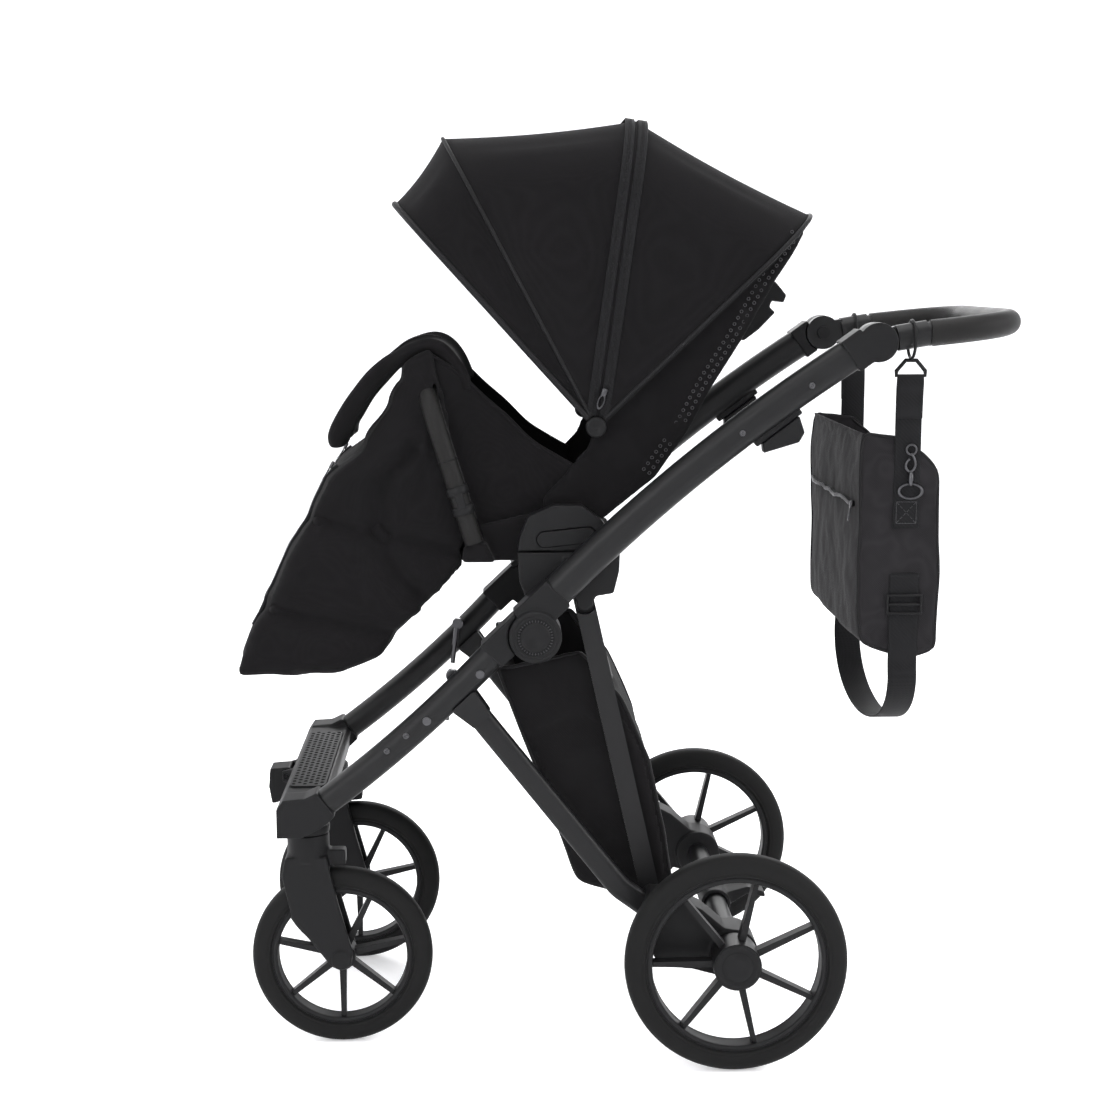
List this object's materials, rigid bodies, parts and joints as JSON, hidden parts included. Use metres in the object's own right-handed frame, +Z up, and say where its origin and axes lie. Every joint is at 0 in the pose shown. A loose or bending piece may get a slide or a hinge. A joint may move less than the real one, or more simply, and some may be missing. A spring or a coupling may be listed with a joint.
{
  "type": "baby stroller",
  "caption": "Folding baby stroller with spoked wheels, reclining seat with canopy and foot cover, bumper bar, shopping basket and a bag on the tilting handle.",
  "frame": {"origin": "on the ground, under the middle of the stroller's overall box", "axes": "+Z up, the child faces -Y, +X to the child's left"},
  "size_m": [0.584, 1.0325, 1.2217],
  "materials": {
    "frame_paint": "satin black powder coat",
    "black_plastic": "fine-grained matt black",
    "tyre_foam": "smooth matt black",
    "rim_plastic": "satin black",
    "leatherette": "fine-grained black",
    "seat_fabric": "dense dark charcoal weave",
    "bag_fabric": "charcoal melange weave",
    "webbing": "black ribbed webbing",
    "steel": "satin"
  },
  "bodies": {
    "chassis": {"left_lower_tube": "frame_paint", "right_lower_tube": "frame_paint", "left_hub_base": "black_plastic", "right_hub_base": "black_plastic", "front_crossbar": "black_plastic", "step_pad": "black_plastic", "basket_hangers": "steel", "frame_fasteners": "steel"},
    "rear_frame": {"left_front_strut": "frame_paint", "right_front_strut": "frame_paint", "left_axle_housing": "black_plastic", "right_axle_housing": "black_plastic", "rear_axle_tube": "frame_paint", "basket": "seat_fabric"},
    "rear_legs": {"left_rear_leg": "frame_paint", "right_rear_leg": "frame_paint"},
    "brake": {"brake_pedal": "black_plastic"},
    "swivel_lock": {"swivel_lock_lever": "black_plastic"},
    "upper_frame": {"left_upper_tube": "frame_paint", "right_upper_tube": "frame_paint", "left_fold_hub": "black_plastic", "right_fold_hub": "black_plastic", "left_seat_mount": "black_plastic", "right_seat_mount": "black_plastic", "left_handle_joint": "black_plastic", "right_handle_joint": "black_plastic"},
    "handle": {"handle_bar": "frame_paint", "handle_grip": "leatherette"},
    "bag": {"bag": "bag_fabric", "bag_straps": "webbing"},
    "seat": {"seat_shell": "black_plastic", "seat_cushion": "seat_fabric", "left_seat_adapter": "black_plastic", "right_seat_adapter": "black_plastic", "foot_cover": "seat_fabric"},
    "bumper": {"bumper_bar": "leatherette"},
    "backrest": {"backrest_shell": "black_plastic", "back_cushion": "seat_fabric", "canopy_rear_bow": "black_plastic"},
    "recline": {"recline_handle": "black_plastic"},
    "canopy_middle": {"canopy_middle_bow": "black_plastic", "canopy_rear_panel": "seat_fabric"},
    "canopy_front": {"canopy_front_bow": "black_plastic", "canopy_front_panel": "seat_fabric"},
    "left_rear_wheel": {"left_rear_tyre": "tyre_foam", "left_rear_rim": "rim_plastic"},
    "left_fork": {"left_front_fork": "black_plastic"},
    "left_front_wheel": {"left_front_tyre": "tyre_foam", "left_front_rim": "rim_plastic"},
    "left_trigger": {"left_fold_trigger": "black_plastic"},
    "left_button": {"left_handle_button": "black_plastic"},
    "left_release": {"left_seat_release": "black_plastic"},
    "right_rear_wheel": {"right_rear_tyre": "tyre_foam", "right_rear_rim": "rim_plastic"},
    "right_fork": {"right_front_fork": "black_plastic"},
    "right_front_wheel": {"right_front_tyre": "tyre_foam", "right_front_rim": "rim_plastic"},
    "right_trigger": {"right_fold_trigger": "black_plastic"},
    "right_button": {"right_handle_button": "black_plastic"},
    "right_release": {"right_seat_release": "black_plastic"}
  },
  "joints": [
    {"name": "fold", "type": "hinge", "parent": "chassis", "child": "upper_frame", "pos_m": [0, -0.12425, 0.566], "axis": [1, 0, 0], "range_deg": [-40, 0]},
    {"name": "rear_frame_fold", "type": "hinge", "parent": "chassis", "child": "rear_frame", "pos_m": [0, -0.20125, 0.464], "axis": [1, 0, 0], "range_deg": [-18.3, 0]},
    {"name": "rear_leg_fold", "type": "hinge", "parent": "rear_frame", "child": "rear_legs", "pos_m": [0, 0.02875, 0.212], "axis": [1, 0, 0], "range_deg": [0, 3.9]},
    {"name": "brake_pedal_tilt", "type": "hinge", "parent": "rear_frame", "child": "brake", "pos_m": [0, 0.13375, 0.145], "axis": [1, 0, 0], "range_deg": [-12, 0]},
    {"name": "swivel_lock_tilt", "type": "hinge", "parent": "chassis", "child": "swivel_lock", "pos_m": [0, -0.46825, 0.331], "axis": [1, 0, 0], "range_deg": [-20, 0]},
    {"name": "left_rear_wheel_spin", "type": "hinge", "parent": "rear_frame", "child": "left_rear_wheel", "pos_m": [0.27, 0.13375, 0.145], "axis": [1, 0, 0], "continuous": true},
    {"name": "left_fork_swivel", "type": "hinge", "parent": "chassis", "child": "left_fork", "pos_m": [0.157, -0.42625, 0.291], "axis": [0, 0, 1], "continuous": true},
    {"name": "left_front_wheel_spin", "type": "hinge", "parent": "left_fork", "child": "left_front_wheel", "pos_m": [0.157, -0.38275, 0.121], "axis": [1, 0, 0], "continuous": true},
    {"name": "left_fold_trigger_pull", "type": "slide", "parent": "upper_frame", "child": "left_trigger", "axis": [0, 0.7986, 0.6018], "range_m": [0, 0.01], "stiffness_N_per_m": 250, "springref_m": -0.006},
    {"name": "left_handle_button_press", "type": "slide", "parent": "handle", "child": "left_button", "axis": [1, 0, 0], "range_m": [0, 0.003], "stiffness_N_per_m": 300, "springref_m": -0.002},
    {"name": "left_seat_release_press", "type": "slide", "parent": "seat", "child": "left_release", "axis": [-1, 0, 0], "range_m": [0, 0.003], "stiffness_N_per_m": 300, "springref_m": -0.002},
    {"name": "right_rear_wheel_spin", "type": "hinge", "parent": "rear_frame", "child": "right_rear_wheel", "pos_m": [-0.27, 0.13375, 0.145], "axis": [1, 0, 0], "continuous": true},
    {"name": "right_fork_swivel", "type": "hinge", "parent": "chassis", "child": "right_fork", "pos_m": [-0.157, -0.42625, 0.291], "axis": [0, 0, 1], "continuous": true},
    {"name": "right_front_wheel_spin", "type": "hinge", "parent": "right_fork", "child": "right_front_wheel", "pos_m": [-0.157, -0.38275, 0.121], "axis": [1, 0, 0], "continuous": true},
    {"name": "right_fold_trigger_pull", "type": "slide", "parent": "upper_frame", "child": "right_trigger", "axis": [0, 0.7986, 0.6018], "range_m": [0, 0.01], "stiffness_N_per_m": 250, "springref_m": -0.006},
    {"name": "right_handle_button_press", "type": "slide", "parent": "handle", "child": "right_button", "axis": [-1, 0, 0], "range_m": [0, 0.003], "stiffness_N_per_m": 300, "springref_m": -0.002},
    {"name": "right_seat_release_press", "type": "slide", "parent": "seat", "child": "right_release", "axis": [1, 0, 0], "range_m": [0, 0.003], "stiffness_N_per_m": 300, "springref_m": -0.002},
    {"name": "handle_tilt", "type": "hinge", "parent": "upper_frame", "child": "handle", "pos_m": [0, 0.30975, 0.94], "axis": [1, 0, 0], "range_deg": [-25, 20]},
    {"name": "bag_swing", "type": "hinge", "parent": "handle", "child": "bag", "pos_m": [0, 0.35675, 0.96692], "axis": [1, 0, 0], "range_deg": [-20.5, 25.5]},
    {"name": "seat_lift", "type": "slide", "parent": "upper_frame", "child": "seat", "axis": [0, 0, 1], "range_m": [0, 0.1]},
    {"name": "bumper_pull", "type": "slide", "parent": "seat", "child": "bumper", "axis": [0, -0.2972, 0.9548], "range_m": [0, 0.06], "deforming": ["foot_cover"]},
    {"name": "recline", "type": "hinge", "parent": "seat", "child": "backrest", "pos_m": [0, -0.08625, 0.69], "axis": [1, 0, 0], "range_deg": [-18, 0]},
    {"name": "recline_handle_pull", "type": "slide", "parent": "backrest", "child": "recline", "axis": [0, 0.4909, 0.8712], "range_m": [0, 0.008], "stiffness_N_per_m": 400, "springref_m": -0.012},
    {"name": "canopy_middle_turn", "type": "hinge", "parent": "backrest", "child": "canopy_middle", "pos_m": [0, -0.04425, 0.83], "axis": [1, 0, 0], "range_deg": [-30, 0], "deforming": ["canopy_rear_panel"]},
    {"name": "canopy_front_turn", "type": "hinge", "parent": "canopy_middle", "child": "canopy_front", "pos_m": [0, -0.04425, 0.83], "axis": [1, 0, 0], "range_deg": [-30, 0], "deforming": ["canopy_front_panel"]}
  ],
  "couplings": [
    {"joint": "rear_frame_fold", "follows": "fold", "ratio": 0.455},
    {"joint": "rear_leg_fold", "follows": "fold", "ratio": -0.095},
    {"joint": "canopy_front_turn", "follows": "canopy_middle_turn", "ratio": 1},
    {"joint": "bag_swing", "follows": "handle_tilt", "ratio": -1}
  ]
}
